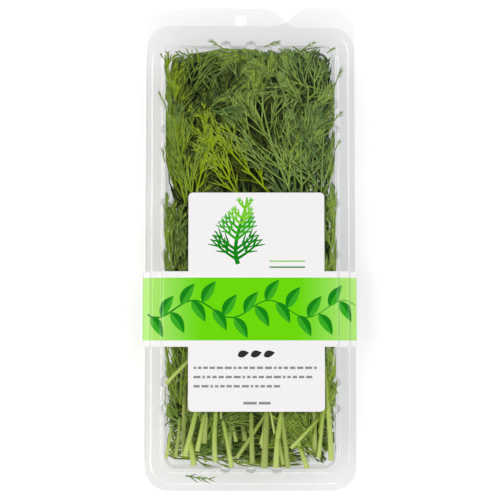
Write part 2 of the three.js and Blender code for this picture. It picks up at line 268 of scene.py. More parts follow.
tray_lip_height = parting_height - 0.22
shoulder = tray_lip_height - 1.5
tray_rows = softened([
    row(pocket_edge, 0.3, tray_lip_height),
    row(pocket_edge, 0.0, tray_lip_height),
    row(pocket_edge, -0.15, shoulder),
    row(pocket_mouth, 0.1, shoulder - 0.1),
    row(pocket_mouth, 0.0, lug_top + 0.12),
    row(pocket_mouth, -0.02, lug_top, 1.0),
    row(pocket_mouth, -0.4, (lug_top + lug_foot) / 2, 1.0),
    row(pocket_mouth, -0.8, lug_foot, 1.0),
    row(pocket_mouth, -0.82, lug_foot - 0.2),
    row(floor_bend, -0.3, 3.3),
    row(floor_bend, -1.2, 0.9),
    row(floor_flat, 0.2, sheet_drawn / 2),
    row(floor_flat, -1.0, sheet_drawn / 2),
], 0.45)
angles = np.linspace(0, 2 * math.pi, 40, endpoint=False)
hole_edge = np.column_stack([hang_hole[0] + hang_hole[2] * np.cos(angles),
                             hang_hole[1] + hang_hole[2] * np.sin(angles)])
clear_tray = moulded_piece("clear_tray", [
    lip(tray_lip_outline(), tray_rows[0], tray_lip_height, [hole_edge]),
    skin(tray_rows),
    panel_inside(tray_rows[-1]),
], sheet_drawn)


def linear(code):
    """An sRGB hex colour as the linear colour that a shader takes."""
    parts = [int(code[i:i + 2], 16) / 255 for i in (0, 2, 4)]
    return [p / 12.92 if p <= 0.04045 else ((p + 0.055) / 1.055) ** 2.4 for p in parts] + [1.0]


def add_node(tree, kind, sockets=None, links=None, stops=None, **settings):
    """Adds a node with its settings, its socket values, its colour stops and the links into it."""
    node = tree.nodes.new(kind)
    for name, value in settings.items():
        setattr(node, name, value)
    for socket, value in (sockets or {}).items():
        node.inputs[socket].default_value = value
    for socket, (source, output) in (links or {}).items():
        tree.links.new(source.outputs[output], node.inputs[socket])
    for i, (place, code) in enumerate(stops or []):
        mark = node.color_ramp.elements[i] if i < 2 else node.color_ramp.elements.new(place)
        mark.position, mark.color = place, linear(code)
    return node


def new_material(name):
    """An empty material and its node tree."""
    material = bpy.data.materials.new(name)
    material.use_nodes = True
    material.node_tree.nodes.clear()
    return material, material.node_tree


def clear_pet_sheet():
    """Thermoformed recycled PET: glass clear with a faint grey cast. Its skin ripples over some 18 mm,
    from uneven draw, which bends the reflections of the lamps, and has a fine orange peel."""
    material, tree = new_material("thermoformed_clear_pet")
    place = add_node(tree, "ShaderNodeTexCoord")
    ripple = add_node(tree, "ShaderNodeTexNoise", {"Scale": 1 / (18 * mm), "Detail": 1.0},
                      {"Vector": (place, "Object")})
    peel = add_node(tree, "ShaderNodeTexNoise", {"Scale": 1 / (1.6 * mm), "Detail": 2.0},
                    {"Vector": (place, "Object")})
    broad = add_node(tree, "ShaderNodeBump", {"Strength": 0.35, "Distance": 0.6 * mm},
                     {"Height": (ripple, "Fac")})
    fine = add_node(tree, "ShaderNodeBump", {"Strength": 0.06, "Distance": 0.1 * mm},
                    {"Height": (peel, "Fac"), "Normal": (broad, "Normal")})
    edge_on = add_node(tree, "ShaderNodeFresnel", {"IOR": 1.57}, {"Normal": (broad, "Normal")})
    side = add_node(tree, "ShaderNodeNewGeometry")
    front = add_node(tree, "ShaderNodeMath", {0: 1.0}, {1: (side, "Backfacing")}, operation="SUBTRACT")
    from_front = add_node(tree, "ShaderNodeMath", None, {0: (edge_on, "Fac"), 1: (front, 0)},
                          operation="MULTIPLY")
    # Light that runs lengthwise through a steep wall meets more plastic, so its edges draw grey lines.
    steep = add_node(tree, "ShaderNodeMapRange", {1: 0.2, 2: 0.7, 3: 0.0, 4: 1.0}, {0: (from_front, 0)})
    cast = add_node(tree, "ShaderNodeMix", {6: linear("fcfcfc"), 7: linear("a2a6a4")}, {0: (steep, 0)},
                    data_type="RGBA")
    through = add_node(tree, "ShaderNodeBsdfTransparent", None, {"Color": (cast, 2)})
    shine = add_node(tree, "ShaderNodeBsdfGlossy", {"Roughness": 0.07, "Color": linear("ffffff")},
                     {"Normal": (fine, "Normal")})
    # The two faces of the thin sheet shine as one: the shares of both on the face towards the eye.
    share = add_node(tree, "ShaderNodeMath", {1: 1.35}, {0: (from_front, 0)}, operation="MULTIPLY",
                     use_clamp=True)
    mixed = add_node(tree, "ShaderNodeMixShader", None, {0: (share, 0), 1: (through, 0), 2: (shine, 0)})
    add_node(tree, "ShaderNodeOutputMaterial", None, {"Surface": (mixed, 0)})
    return material


clear_pet = clear_pet_sheet()
clear_tray.data.materials.append(clear_pet)
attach(clear_tray, "tray")
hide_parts("tray")

# Lid: the shallow half of the same sheet, with a raised ledge, a flat front panel and the opening tab
# at its upper right. It closes lip to lip on the tray.
step_foot = (49.2, -117.0, 107.0, 10.4)
step_top = (48.8, -116.6, 106.6, 10.0)
lid_hinge_edge = -51.5
lid_top = 110.6
opening_corner = 12.5
lid_lip_height = parting_height + 0.22
ledge_height = lid_lip_height + 1.68
front_height = lid_lip_height + 2.85


def lid_lip_outline():
    """The outer edge of the lid, cut back along the hinge, with the opening tab."""
    _, bottom, top, radius = lip_edge
    inset = half_width - radius
    return np.concatenate([
        corner_arc((lid_hinge_edge + radius, lid_top - radius), radius, 180),
        bezier([(11, lid_top), (15.6, lid_top), notch], 8),
        bezier([(25.2, 119), (26.4, 120), (28.5, 120)], 6),
        corner_arc((half_width - opening_corner, 120 - opening_corner), opening_corner, 90),
        corner_arc((inset, bottom + radius), radius, 0),
        corner_arc((lid_hinge_edge + radius, bottom + radius), radius, 270),
    ])


lid_rows = softened([
    row(step_foot, 0.5, lid_lip_height),
    row(step_foot, 0.0, lid_lip_height),
    row(step_top, 0.0, ledge_height),
    row(pocket_edge, 0.2, ledge_height),
    row(pocket_edge, -0.1, front_height),
    row(pocket_edge, -1.2, front_height),
], 0.4)
clear_lid = moulded_piece("clear_lid", [
    lip(lid_lip_outline(), lid_rows[0], lid_lip_height),
    skin(lid_rows),
    panel_inside(lid_rows[-1]),
], sheet_drawn)
clear_lid.data.materials.append(clear_pet)
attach(clear_lid, "lid")
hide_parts("lid")

# Living hinge: the narrow fold of the same clear PET along the left edge, which joins tray and lid.
# It was pressed thinner than the rest of the sheet, so that it bends each time the lid opens.
hinge_from, hinge_to = -106.0, 96.0
hinge_thickness = 0.2
hinge_x = frame["joints"][0]["pos_m"][0] / mm


def bent_strip(section, start, end):
    """A strip of sheet that follows a cross-section drawn in X and Z, from one Y to another."""
    section = np.array(section)
    count = len(section)
    points = [np.column_stack([section[:, 0], np.full(count, y), section[:, 1]]) for y in (start, end)]
    here = np.arange(count - 1)
    return np.concatenate(points), np.column_stack([here, here + 1, here + count + 1, here + count])


fold = bezier([(-half_width + 0.3, tray_lip_height), (hinge_x - 0.8, tray_lip_height + 0.05),
               (hinge_x - 0.8, lid_lip_height - 0.05), (lid_hinge_edge + 0.2, lid_lip_height)], 13)
living_hinge = moulded_piece("living_hinge", [bent_strip(fold, hinge_from, hinge_to)], hinge_thickness)
living_hinge.data.materials.append(clear_pet)
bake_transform(living_hinge)

# Dill: twenty cut leafy stems laid lengthwise in six layers. Each grew as one piece: a ridged green
# stem with leaves cut finely into threads, which fork three times and press against the clear walls.
sprigs_in_layer = (3, 4, 3, 4, 3, 3)
layer_lean = np.array([7, -8, 8.5, -7, 8, -8.5])
lean_length = 110
sway_reach = 40.6
wave_height, wave_stride, wave_phase = 3.2, 31, 1.9
heave_middle, heave_reach, heave_height, heave_x, heave_y = 11.6, 10.6, 1.0, 13, 34
bunch_middle, bunch_half_height, height_ease = 11.7, 10.8, 1.4
wall_heights, wall_widths = [0.6, 3.3, 18, 18.8], [37.4, 39.9, 41.7, 43.2]
top_past_side, foot_past_side = 59.2, 67.3
wall_corner, wall_limit, wall_ease = 6, 5.8, 4.0
threads_end, end_wall, end_ease = 96, 101.6, 8.0
fold_from, fold_run, fold_aside, fold_stride = 78, 12, 11, 13
dill_floor = 1.3
layer_pitch = 3.45
dill_half_width, lowest_half_width = 39.6, 37.2
foot_from, tip_from, end_spread = -106, 62, 12
stem_foot, stem_tip = 1.3, 0.6
leaves_on_sprig = 7
first_leaf, leaves_run, last_leaf = 0.2, 0.82, 0.985
least_slant, slant_spread = 0.24, 0.12
longest_leaf = 46
leaf_limit = 97.8
outer_threads, inner_threads = (0.24, 0.48, 0.73), (0.4, 0.66)
thread_spread = 0.66
rib_half, side_rib_half, thread_half = 0.58, 0.46, 0.35


def seeded_draw(seed):
    """A seeded draw between 0 and 1."""
    state = seed

    def draw():
        nonlocal state
        state = state * 16807 % 2147483647
        return state / 2147483647

    return draw


# Long leaves that lie over the rest, by the number of the sprig they grow on: the place of the root,
# the turn to the left of straight up, length, breadth, and how yellow their green is.
laid_over = {
    18: ((-29, 22, 0.06, 56, 9, 0.62), (-33, 62, -1.25, 40, 9, 0.5), (-30, 20, 0.25, 44, 12, 0.8),
         (-34, 58, 0.14, 40, 8, 0.8), (-37, -30, 0.05, 50, 10, 0.6), (-36, -78, 0.0, 46, 10, 0.6)),
    19: ((14, 26, 0.68, 46, 11, 1.0), (-2, 56, 0.2, 36, 10, 0.5), (0, 22, 0.42, 38, 10, 0.98),
         (-26, 20, -0.3, 30, 8, 0.9)),
    20: ((23, 27, 0.3, 60, 14, 0.5), (38, 78, 1.2, 44, 9, 0.55), (36, 22, -0.05, 50, 11, 0.35),
         (28, 26, -0.02, 50, 12, 0.42), (30, 58, -0.12, 42, 11, 0.45), (38, -26, -0.05, 50, 10, 0.5),
         (37, -60, -0.04, 46, 10, 0.55), (30, -92, -0.25, 34, 9, 0.7)),
}
# Leaves low in the bunch, given the same way, which close the view through it to the floor.
laid_under = {
    6: ((6, 30, 0.1, 46, 12, 0.4), (-14, 32, -0.1, 46, 12, 0.4)),
    9: ((-6, 34, 0.1, 48, 14, 0.4), (12, 36, -0.1, 48, 14, 0.4), (-24, 34, 0.1, 46, 12, 0.45)),
    13: ((-2, 40, 0.2, 40, 13, 0.4), (24, 36, 0.1, 44, 12, 0.4)),
}
# Stalks that lie over the rest at the foot and beside the panel: from and to, and the radius.
stalks_over = {
    18: ((-32, -103.2, -26.5, -82.7, 1.4), (-26, -100.7, -22.8, -85.7, 1.2), (-27.5, -107.7, -29, -97, 1.5),
         (-41.2, -104, -38.6, -92, 0.8), (-36.5, -103.7, -34.2, -88, 0.9), (-41.4, -68, -29, -54, 1.1)),
    19: ((-9, -108.6, -12, -90, 1.2), (-6.7, -104, 6, -86, 1.0), (6.8, -108.9, 8.3, -82, 1.7),
         (12.7, -108.8, 12.9, -82, 1.5), (-17, -106, -19, -84, 1.3), (1, -106.5, 0.5, -86, 1.3)),
    20: ((18.5, -108.8, 16, -82, 1.3), (16.3, -107.4, 14, -95, 1.1), (20, -99.2, 31.5, -87.7, 1.1),
         (28, -109, 23.6, -98, 1.3), (39.6, -105.2, 38.3, -66, 1.35), (33.5, -104, 35.6, -84, 1.0)),
}
# The height under the lid of these stalks, and of the roots of the leaves above, green and young.
stalk_top = 22.5
leaf_top, young_leaf_top = 21.3, 22.0


def leaf_size(root, turn, inner, lane):
    """How much a leaf narrows to stay in its own lane beside its neighbours."""
    length = min(longest_leaf, leaf_limit - 0.5 - root[1])
    size = 1.0
    while size > 0.2:
        long, wide = length * size ** 0.4, lane["half"] * size
        tips = [(0, long)]
        for side in (1, -1):
            for share in inner_threads if inner == side else outer_threads:
                reach = wide * (1.3 - 0.8 * share)
                tips.append((side * (0.45 + reach * math.sin(thread_spread)),
                             share * long + reach * math.cos(thread_spread)))
        fits = True
        for x, y in tips:
            at_x = root[0] + x * math.cos(turn) - y * math.sin(turn)
            at_y = root[1] + x * math.sin(turn) + y * math.cos(turn)
            wall = lane["reach"] - abs(lane["middle"]) - max(0, at_y - 90) * 0.9
            fits &= abs(at_x - lane["middle"]) < min(lane["half"] - 0.35, wall) and at_y < leaf_limit
        if fits:
            break
        size *= 0.96
    return long, wide


def unit(vectors):
    """The vectors at length 1."""
    return vectors / np.maximum(np.linalg.norm(vectors, axis=-1, keepdims=True), 1e-9)


def shoots(root, heading, bend, length, thick, tone):
    """Curved shoots: each leaves its root along its heading and bends on its way to the tip."""
    return {"root": root, "heading": unit(heading), "bend": bend, "length": length, "thick": thick,
            "tone": tone}


def point_at(grown, share):
    """Where the shoots are at that share of their length."""
    run = (grown["length"] * share)[:, None]
    return grown["root"] + grown["heading"] * run + grown["bend"] * run * np.asarray(share)[..., None]


def heading_at(grown, share):
    """Which way the shoots head at that share of their length."""
    return unit(grown["heading"] + 2 * grown["bend"] * np.asarray(share)[..., None])


def side_shoots(parents, shares, spread, ratio, thick, chance, lift=0.1):
    """Shoots on both sides of their parents, shorter towards the parent's tip, each curving forward."""
    found = []
    count = len(parents["length"])
    for share in shares:
        for side in (-1, 1):
            at = np.clip(share + chance.normal(0, 0.025, count), 0.03, 0.97)
            way = heading_at(parents, at)
            turn = side * spread * chance.uniform(0.7, 1.3, count)
            turned = np.column_stack([way[:, 0] * np.cos(turn) - way[:, 1] * np.sin(turn),
                                      way[:, 0] * np.sin(turn) + way[:, 1] * np.cos(turn),
                                      way[:, 2] * 0.5 + chance.normal(0, lift, count)])
            length = parents["length"] * ratio * (1.2 - 0.75 * at) * chance.uniform(0.7, 1.25, count)
            bend = (way - turned) * chance.uniform(0.0, 0.45, (count, 1))
            bend += chance.normal(0, 0.05, (count, 3)) * (1, 1, 0.4)
            tone = parents["tone"] + chance.normal(0, 0.08, count)
            found.append(shoots(point_at(parents, at), turned, bend, length,
                                np.full(count, thick), tone))
    return {key: np.concatenate([grown[key] for grown in found]) for key in found[0]}


def softly(values, limit, ease):
    """Values from 0 up, pressed together as they come near a limit, which they never pass."""
    start = limit - ease
    return np.where(values > start, limit - ease * np.exp(-(values - start) / ease), values)


def settle(points, layer):
    """Lays straight-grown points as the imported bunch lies: swayed with its layer, and inside the pack.
    It also says how far each point would have gone towards and past the walls."""
    x, y, z = points[..., 0], points[..., 1], points[..., 2]
    free = np.clip(1 - (x / sway_reach) ** 2, 0, 1)
    aside = wave_height * np.sin(y / wave_stride + wave_phase * layer)
    across = x + (layer_lean[layer] * y / lean_length + aside) * free
    beyond = y - threads_end
    free_up = heave_height * np.clip(1 - ((z - heave_middle) / heave_reach) ** 2, 0, 1)
    up = np.sin(across / heave_x + 0.6) * np.sin(y / heave_y + 0.4) * free_up
    # Threads that reach the end wall fold over sideways, in arcs along it.
    folded = 1 - np.exp(-np.maximum(y - fold_from, 0) / fold_run)
    across = across + np.sin(across / fold_stride + 1.7 * layer) * fold_aside * folded
    y = softly(y, end_wall, end_ease)
    raised = z + up - bunch_middle
    height = bunch_middle + np.sign(raised) * softly(np.abs(raised), bunch_half_height, height_ease)
    wall = np.interp(height, wall_heights, wall_widths)
    dx = np.maximum(np.abs(across) - (wall - wall_corner), 0)
    end = np.where(y > 0, wall + top_past_side, wall + foot_past_side)
    dy = np.maximum(np.abs(y) - (end - wall_corner), 0)
    far = np.hypot(dx, dy)
    pressed = np.where(far > 0, softly(far, wall_limit, wall_ease) / np.maximum(far, 1e-6), 1)
    across = np.sign(across) * (np.minimum(np.abs(across), wall - wall_corner) + dx * pressed)
    along = np.sign(y) * (np.minimum(np.abs(y), end - wall_corner) + dy * pressed)
    return np.stack([across, along, height], -1), np.maximum(far, beyond)


# How far out a straight shoot may end, counted from wall_corner inside the walls, and the open corners.
farthest_end = 8.2
open_corner_x, open_corner_y, open_corner_radius = 30, 88, 10.8


def thinned(grown, layer):
    """The shoots that end near the pack's walls or inside them. The others found no room to grow.
    Few threads reach into the two upper corners, so light shows between them there."""
    ends = point_at(grown, np.ones(len(grown["length"])))
    places, far = settle(ends, layer)
    across, along = np.abs(places[:, 0]) - open_corner_x, places[:, 1] - open_corner_y
    in_corner = (along > 0) & (across > 0) & (np.hypot(across, along) > open_corner_radius)
    kept = (far < farthest_end) & ~in_corner
    return {key: values[kept] for key, values in grown.items()}


def rods(centre, radius, tone, part, sides, ridge=0.0):
    """Closed rods round centre lines (rods, points, 3), each ending in a point, plain or ridged."""
    count, rings = centre.shape[:2]
    along = unit(np.gradient(centre, axis=1))
    side = unit(np.cross(along, (0.0, 0.0, 1.0)) + 1e-6)
    up = np.cross(side, along)
    angle = np.arange(sides) * 2 * math.pi / sides + 0.5
    round_it = (side[:, :-1, None] * np.cos(angle)[:, None] + up[:, :-1, None] * np.sin(angle)[:, None])
    ribbed = (1 - ridge * (np.arange(sides) % 2))[:, None]
    rim = centre[:, :-1, None] + round_it * ribbed * radius[:, :-1, None, None]
    points = np.concatenate([rim.reshape(count, (rings - 1) * sides, 3), centre[:, -1:]], 1)
    faces = []
    for ring in range(rings - 2):
        for i in range(sides):
            a, b = ring * sides + i, ring * sides + (i + 1) % sides
            faces += [(a, b, b + sides), (a, b + sides, a + sides)]
    tip, last = (rings - 1) * sides, (rings - 2) * sides
    faces += [(last + i, last + (i + 1) % sides, tip) for i in range(sides)]
    faces += [(0, i + 1, i) for i in range(1, sides - 1)]
    each = points.shape[1]
    shifted = np.array(faces)[None] + (np.arange(count) * each)[:, None, None]
    shade = np.repeat(tone, each)
    where = np.concatenate([np.repeat(part[:-1], sides), part[-1:]])
    around = np.concatenate([np.tile(np.arange(sides), rings - 1), [0]]) / sides
    return points.reshape(-1, 3), shifted.reshape(-1, 3), shade, np.tile(where, count), np.tile(around, count)


def threads(grown, rings, sides, layer, part_from, part_to, taper=0.6):
    """Shoots as thin rods, settled in the pack."""
    shares = np.linspace(0, 1, rings)
    centre = np.stack([point_at(grown, np.full(len(grown["length"]), share)) for share in shares], 1)
    if layer is not None:
        centre = settle(centre, layer)[0]
    radius = grown["thick"][:, None] * (1 - (1 - taper) * shares)
    part = part_from + (part_to - part_from) * shares
    return rods(centre, radius, grown["tone"], part, sides)


def leaf_parts(root, turn, tilt, long, wide, layer, tone, chance, pairs, finer):
    """One leaf: a rib, its side ribs, their forks, and the threads at the end of each fork."""
    way = np.array([[-math.sin(turn), math.cos(turn), tilt]])
    bend = chance.normal(0, 0.09, (1, 3)) * (1, 1, 0.2)
    rib = shoots(np.array([root]), way, bend, np.array([long]), np.array([rib_half]), np.array([tone]))
    reach = 1.9 * wide / long
    first = side_shoots(rib, np.linspace(0.08, 0.94, pairs), 0.52, reach, side_rib_half, chance, 0.1)
    second = side_shoots(first, np.linspace(0.2, 0.86, finer), 0.36, 0.78, thread_half, chance, 0.1)
    second = thinned(second, layer)
    third = thinned(side_shoots(second, (0.36,), 0.28, 0.8, thread_half * 0.95, chance, 0.1), layer)
    return [threads(rib, 7, 4, layer, 0.0, 0.3), threads(first, 5, 3, layer, 0.05, 0.5),
            threads(second, 4, 3, layer, 0.15, 0.6), threads(third, 3, 3, layer, 0.3, 0.65)]


def greenness(x, y):
    """How fresh the leaves are where they lie: 0 blue green, 1 yellow green, by a few broad patches."""
    patches = ((-12, 50, 15, 0.6), (-38, 60, 10, 0.35), (14, 60, 20, -0.35), (-20, 88, 12, -0.15),
               (-30, 40, 8, -0.2), (34, 20, 20, -0.15), (20, -96, 30, 0.2), (41, 60, 7, 0.35),
               (0, 104, 22, 0.2), (-40, 88, 8, 0.5))
    tone = 0.42
    for at_x, at_y, size, change in patches:
        tone += change * math.exp(-((x - at_x) ** 2 + (y - at_y) ** 2) / (2 * size ** 2))
    return tone


def sprig_parts(lane, draw, chance):
    """All the parts of one leafy stem, grown straight and then settled."""
    layer = lane["layer"]
    foot, tip = foot_from + end_spread * draw(), tip_from + end_spread * draw()
    swing = (draw() - 0.5) * lane["half"] * 0.45
    phase = 2 * math.pi * draw()

    def stem_at(share):
        return (lane["middle"] + swing * math.sin(3.4 * share + phase) * min(1, 3 - 3 * share),
                foot + (tip - foot) * share, lane["height"] + 0.2 * math.sin(5 * share + phase))

    shares = np.linspace(0, 1, 30)
    centre = settle(np.array([[stem_at(share) for share in shares]]), layer)[0]
    radius = (stem_foot + (stem_tip - stem_foot) * shares ** 0.5)[None]
    stem_tone = np.array([0.3 + 0.5 * chance.random()])
    radius *= chance.uniform(1.0, 1.2)
    parts = [rods(centre, radius, stem_tone, 1 - 0.3 * shares, 12, 0.12)]
    # A leaf stalk was cut off with the stem beside it, and crosses over it further up.
    for side in chance.permutation((-1, 1))[:1 + (layer > 3)]:
        beside = np.array([[lane["middle"] + side * chance.uniform(2.5, 6.5),
                            foot + chance.uniform(-4, 14), lane["height"] + chance.uniform(-1, 1)]])
        way = np.array([[-side * chance.uniform(0.02, 0.3), 1.0, 0.0]])
        bend = chance.normal(0, 0.12, (1, 3)) * (1, 0, 0)
        stalk = shoots(beside, way, bend, chance.uniform(45, 75, 1), chance.uniform(0.65, 1.0, 1), stem_tone)
        parts.append(threads(stalk, 10, 8, layer, 0.99, 0.86, 0.6))
    for k in range(leaves_on_sprig):
        last = k == leaves_on_sprig - 1
        step = leaves_run * (k + 0.4 * draw()) / leaves_on_sprig
        share = last_leaf if last else first_leaf + step
        side = 1 if k % 2 else -1
        slant = least_slant + slant_spread * draw()
        turn = 0.3 * side * slant if last else -side * slant
        tilt = 0.04 * (draw() - 0.5)
        root = stem_at(share)
        long, wide = leaf_size(root, turn, -side, lane)
        middle = settle(np.array([[root]]), layer)[0][0, 0]
        tone = greenness(middle[0] - side * 4, middle[1] + 20) + chance.normal(0, 0.08)
        # Leaves lean down to the floor in the lowest layer, and up to the lid in the top one.
        rise = {0: -0.03, 5: 0.035}.get(layer, 0.0)
        parts += leaf_parts(root, turn, tilt + rise, long, wide, layer, tone, chance, 5,
                            3 if layer < 5 else 2)
    # Smaller leaves between the main ones turn further aside and fill the bunch out.
    for share in np.linspace(0.3, 0.96, 4 if layer < 5 else 2):
        root = stem_at(share + chance.uniform(-0.06, 0.03))
        turn = chance.choice((-1, 1)) * chance.uniform(0.3, 0.95)
        tone = greenness(root[0], root[1] + 15) + chance.normal(0, 0.1)
        parts += leaf_parts(root, turn, 0.0, chance.uniform(30, 42), chance.uniform(10, 13), layer,
                            tone, chance, 5, 3 if layer < 4 else 2)
    # Of the leaves that lie over the rest, the yellow young ones lie highest and have fewer threads.
    for at_x, at_y, turn, long, wide, tone in laid_over.get(lane["number"], ()):
        pairs, finer, height = (5, 2, young_leaf_top) if tone > 0.85 else (7, 4, leaf_top)
        parts += leaf_parts((at_x, at_y, height), turn, 0.012, long, wide, layer, tone, chance, pairs, finer)
    for foot_x, foot_y, top_x, top_y, thick in stalks_over.get(lane["number"], ()):
        way = np.array([[top_x - foot_x, top_y - foot_y, 0.0]])
        over = shoots(np.array([[foot_x, foot_y, stalk_top - thick]]), way,
                      chance.normal(0, 0.045, (1, 3)) * (1, 0, 0), np.linalg.norm(way, axis=1) * 1.3,
                      np.array([thick]), chance.uniform(0.3, 0.8, 1))
        parts.append(threads(over, 10, 10, None, 1.0, 0.88, 0.8))
    # Short leaves stand round the foot of the stem.
    for share in (0.0, 0.04, 0.09, 0.15):
        side = chance.choice((-1, 1))
        turn = side * chance.uniform(0.3, 2.0)
        parts += leaf_parts(stem_at(share), turn, 0.0, chance.uniform(14, 24), 9.0, layer,
                            0.6 + chance.normal(0, 0.12), chance, 4, 2)
    for at_x, at_y, turn, long, wide, tone in laid_under.get(lane["number"], ()):
        parts += leaf_parts((at_x, at_y, lane["height"]), turn, 0.0, long, wide, layer, tone, chance, 7, 4)
    return parts


# Each face takes one of this many steps of painted shade.
shade_levels = 6
# Threads above this height cross over a hollow in the light, and only a share of its painted shade is
# on them.
crossing_height, crossing_share = 21.72, 0.18
# Painted dark hollows in the bunch by place, breadth and depth, and a thin place at the right painted
# lighter, where light comes in.
painted_hollows = ((-11, 50, 14, 7.5), (21, 76, 10, 4.0), (-2, 88, 9, 3.5), (32, 44, 12, -1.8))


def dill_object(name, parts):
    """A mesh object from parts, with each point's tone and place on the plant and each face's painted shade,
    for the material.
    """
    points, tone, place, around = (np.concatenate([part[i] for part in parts]) for i in (0, 2, 3, 4))
    starts = np.cumsum([0] + [len(part[0]) for part in parts])
    faces = np.concatenate([part[1] + start for part, start in zip(parts, starts)])
    points = points * mm
    tone = np.clip(tone, 0.02, 0.98)
    # Painted shade: faces deep inside the bunch are darker than those at its top and its underside, and
    # each thread's painted shade differs a little at random from the next.
    middle = points[faces].mean(1) / mm
    outward = np.abs(middle[:, 2] - bunch_middle)
    # Each hollow in the bunch is painted shade: faces there are darker, those of the threads that cross
    # over it only a little.
    for at_x, at_y, size, strength in painted_hollows:
        near = np.exp(-((middle[:, 0] - at_x) ** 2 + (middle[:, 1] - at_y) ** 2) / (2 * size ** 2))
        outward -= strength * near * np.where(middle[:, 2] < crossing_height, 1.0, crossing_share)
    # The painted shade is lighter towards the foot, at the tips and along the walls, where the bunch
    # thins out and light reaches in.
    outward += np.interp(middle[:, 1], [-98, -85, -40, 30, 86, 97], [8.4, 6.2, 4.0, 1.5, 0.0, 4.8])
    outward += np.interp(np.abs(middle[:, 0]), [35, 41], [0.0, 3.6])
    painted_shade_jitter = 1.9 * np.sin(7919 * tone[faces[:, 0]])
    level = (np.interp(outward, [6.8, 10.4], [0, shade_levels - 1]) + painted_shade_jitter).round()
    # Stems keep a light painted shade, on the two lightest steps.
    on_stem = place[faces].mean(1) > 0.86
    level[on_stem] = np.maximum(level[on_stem], shade_levels - 2)
    level = np.clip(level, 0, shade_levels - 1)
    shade = 0.15 + 0.85 * (level / (shade_levels - 1)) ** 1.6
    mesh = bpy.data.meshes.new(name)
    mesh.vertices.add(len(points))
    mesh.vertices.foreach_set("co", points.astype(np.float32).ravel())
    mesh.loops.add(faces.size)
    mesh.loops.foreach_set("vertex_index", faces.astype(np.int32).ravel())
    mesh.polygons.add(len(faces))
    mesh.polygons.foreach_set("loop_start", np.arange(0, faces.size, 3, dtype=np.int32))
    mesh.polygons.foreach_set("use_smooth", np.ones(len(faces), bool))
    mesh.update(calc_edges=True)
    for title, values in (("tone", tone), ("place", place)):
        mesh.attributes.new(title, "FLOAT", "POINT").data.foreach_set("value", values.astype(np.float32))
    mesh.attributes.new("shade", "FLOAT", "FACE").data.foreach_set("value", shade.astype(np.float32))
    # Faces lie in the flat layout by painted shade, tone and place, so like faces share one spot.
    layout = mesh.uv_layers.new(name="OFBake")
    flat = np.stack([0.02 + 0.9 * tone + 0.05 * around, 0.02 + 0.96 * place], 1)[faces.ravel()]
    flat[:, 0] = (flat[:, 0] + np.repeat(level, 3)) / shade_levels
    layout.data.foreach_set("uv", flat.astype(np.float32).ravel())
    return placed(name, mesh)


def fresh_dill(name, dark, middle, fresh, tip):
    """Fresh dill leaf: a thin waxy skin over deep green, matt with a soft sheen, from blue green to yellow
    green where young, by its tone; the cut stems are paler, with fine ridges lengthwise. The colour is
    multiplied by each face's painted shade, darker deep inside the bunch."""
    material, tree = new_material(name)
    tone = add_node(tree, "ShaderNodeAttribute", attribute_name="tone")
    place = add_node(tree, "ShaderNodeAttribute", attribute_name="place")
    leaf = add_node(tree, "ShaderNodeValToRGB", None, {"Fac": (tone, "Fac")},
                    [(0.1, dark), (0.9, fresh), (0.5, middle)])
    paler = add_node(tree, "ShaderNodeMapRange", {1: 0.2, 2: 0.65, 3: 0.0, 4: 0.4}, {0: (place, "Fac")})
    tips = add_node(tree, "ShaderNodeMix", {7: linear(tip)}, {0: (paler, 0), 6: (leaf, 0)},
                    data_type="RGBA")
    stalk = add_node(tree, "ShaderNodeValToRGB", None, {"Fac": (place, "Fac")},
                     [(0.8, "6a8a36"), (1.0, "ccdc80"), (0.92, "acc25c")])
    is_stem = add_node(tree, "ShaderNodeMapRange", {1: 0.66, 2: 0.7, 3: 0.0, 4: 1.0}, {0: (place, "Fac")})
    colour = add_node(tree, "ShaderNodeMix", None, {0: (is_stem, 0), 6: (tips, 2), 7: (stalk, 0)},
                      data_type="RGBA")
    # Each face's painted shade, darker deep inside the bunch, multiplies the colour.
    shade = add_node(tree, "ShaderNodeAttribute", attribute_name="shade")
    shaded = add_node(tree, "ShaderNodeMix", {0: 1.0}, {6: (colour, 2), 7: (shade, "Fac")},
                      data_type="RGBA", blend_type="MULTIPLY")
    body = add_node(tree, "ShaderNodeBsdfPrincipled",
                    {"Roughness": 0.5, "IOR": 1.42, "Sheen Weight": 0.02, "Sheen Roughness": 0.4,
                     "Specular IOR Level": 0.15},
                    {"Base Color": (shaded, 2)})
    add_node(tree, "ShaderNodeOutputMaterial", None, {"Surface": (body, 0)})
    return material


dill_greens = {
    "dill_dark": fresh_dill("fresh_dill_dark", "44673e", "708e3a", "8aa408", "a6c064"),
    "dill_mid": fresh_dill("fresh_dill_mid", "4c7145", "7c9a42", "94ae0a", "b2ca70"),
    "dill_fresh": fresh_dill("fresh_dill_fresh", "547a4a", "86a648", "9eb80c", "c0d67a"),
    "dill_light": fresh_dill("fresh_dill_light", "5c8450", "92b152", "aac414", "cade84"),
}
number = 0
for layer, in_layer in enumerate(sprigs_in_layer):
    reach = dill_half_width if layer else lowest_half_width
    for i in range(in_layer):
        number += 1
        half = reach / in_layer
        lane = {"layer": layer, "reach": reach, "half": half, "middle": -reach + half * (2 * i + 1),
                "height": dill_floor + layer_pitch * (layer + 0.5), "number": number}
        parts = sprig_parts(lane, seeded_draw(104729 * number), np.random.default_rng(number))
        leafy_stem = dill_object(f"leafy_stem_{number:02d}", parts)
        slot = list(dill_greens)[(number - 1) % len(dill_greens)]
        leafy_stem.data.materials.append(dill_greens[slot])
        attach(leafy_stem, "tray")
        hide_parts(f"dill_sprig_{number:02d}")

